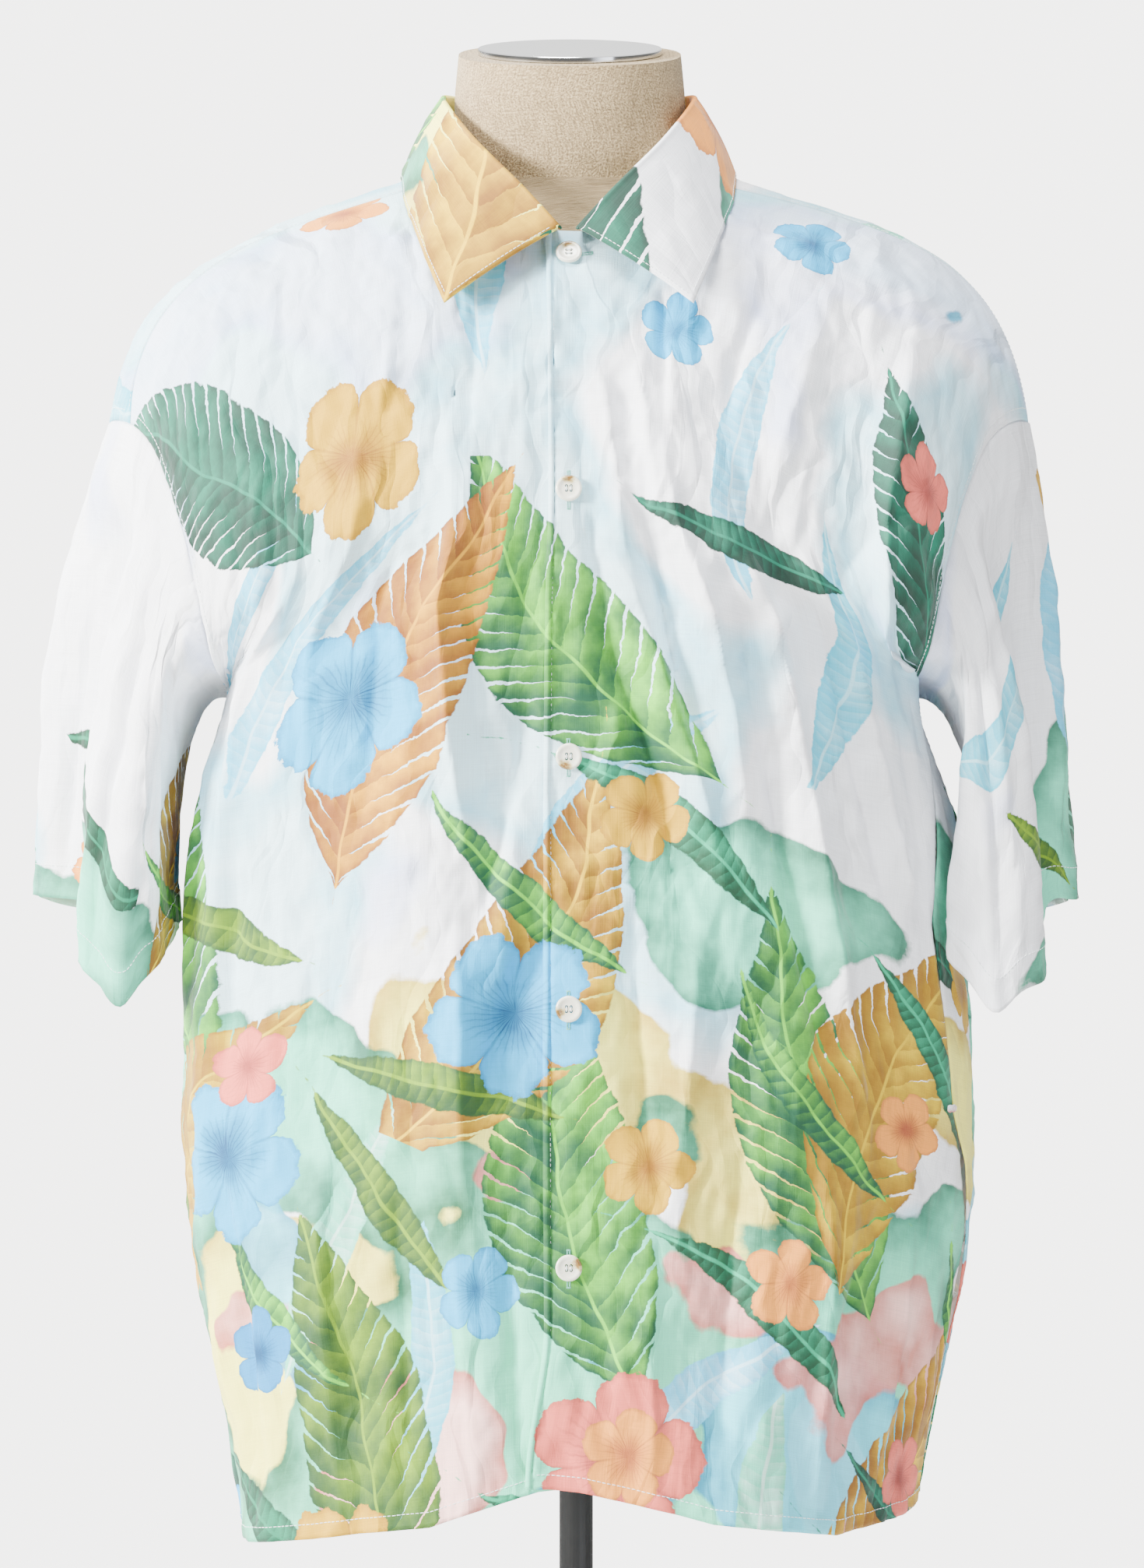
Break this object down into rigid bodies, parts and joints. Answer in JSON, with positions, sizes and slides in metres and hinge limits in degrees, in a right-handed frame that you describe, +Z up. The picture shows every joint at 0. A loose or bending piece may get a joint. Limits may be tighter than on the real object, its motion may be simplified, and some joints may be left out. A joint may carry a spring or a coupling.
{
  "type": "short-sleeve shirt on dress form",
  "caption": "Short-sleeve camp shirt with a point collar, button front and vented hem, worn by a limbless linen dress form on a pole with a round base.",
  "frame": {"origin": "middle of the base's underside, where the stand rests on the floor", "axes": "+Z up, -Y the way the shirt faces, +X towards the wearer's left"},
  "size_m": [0.5792, 0.34, 1.5406],
  "materials": {
    "printed_lawn": "matt printed cotton lawn",
    "button_shell": "polished marbled cream",
    "form_linen": "plain-weave linen",
    "cap_steel": "satin",
    "stand_black": "satin black"
  },
  "bodies": {
    "root": {"front_left": "printed_lawn", "front_right": "printed_lawn", "back": "printed_lawn", "sleeve_left": "printed_lawn", "sleeve_right": "printed_lawn", "collar": "printed_lawn", "vent_tack_left": "printed_lawn", "vent_tack_right": "printed_lawn", "button_1": "button_shell", "button_2": "button_shell", "button_3": "button_shell", "button_4": "button_shell", "button_5": "button_shell", "form_torso": "form_linen", "neck_cap": "cap_steel", "pole": "stand_black", "base": "stand_black"}
  },
  "joints": []
}
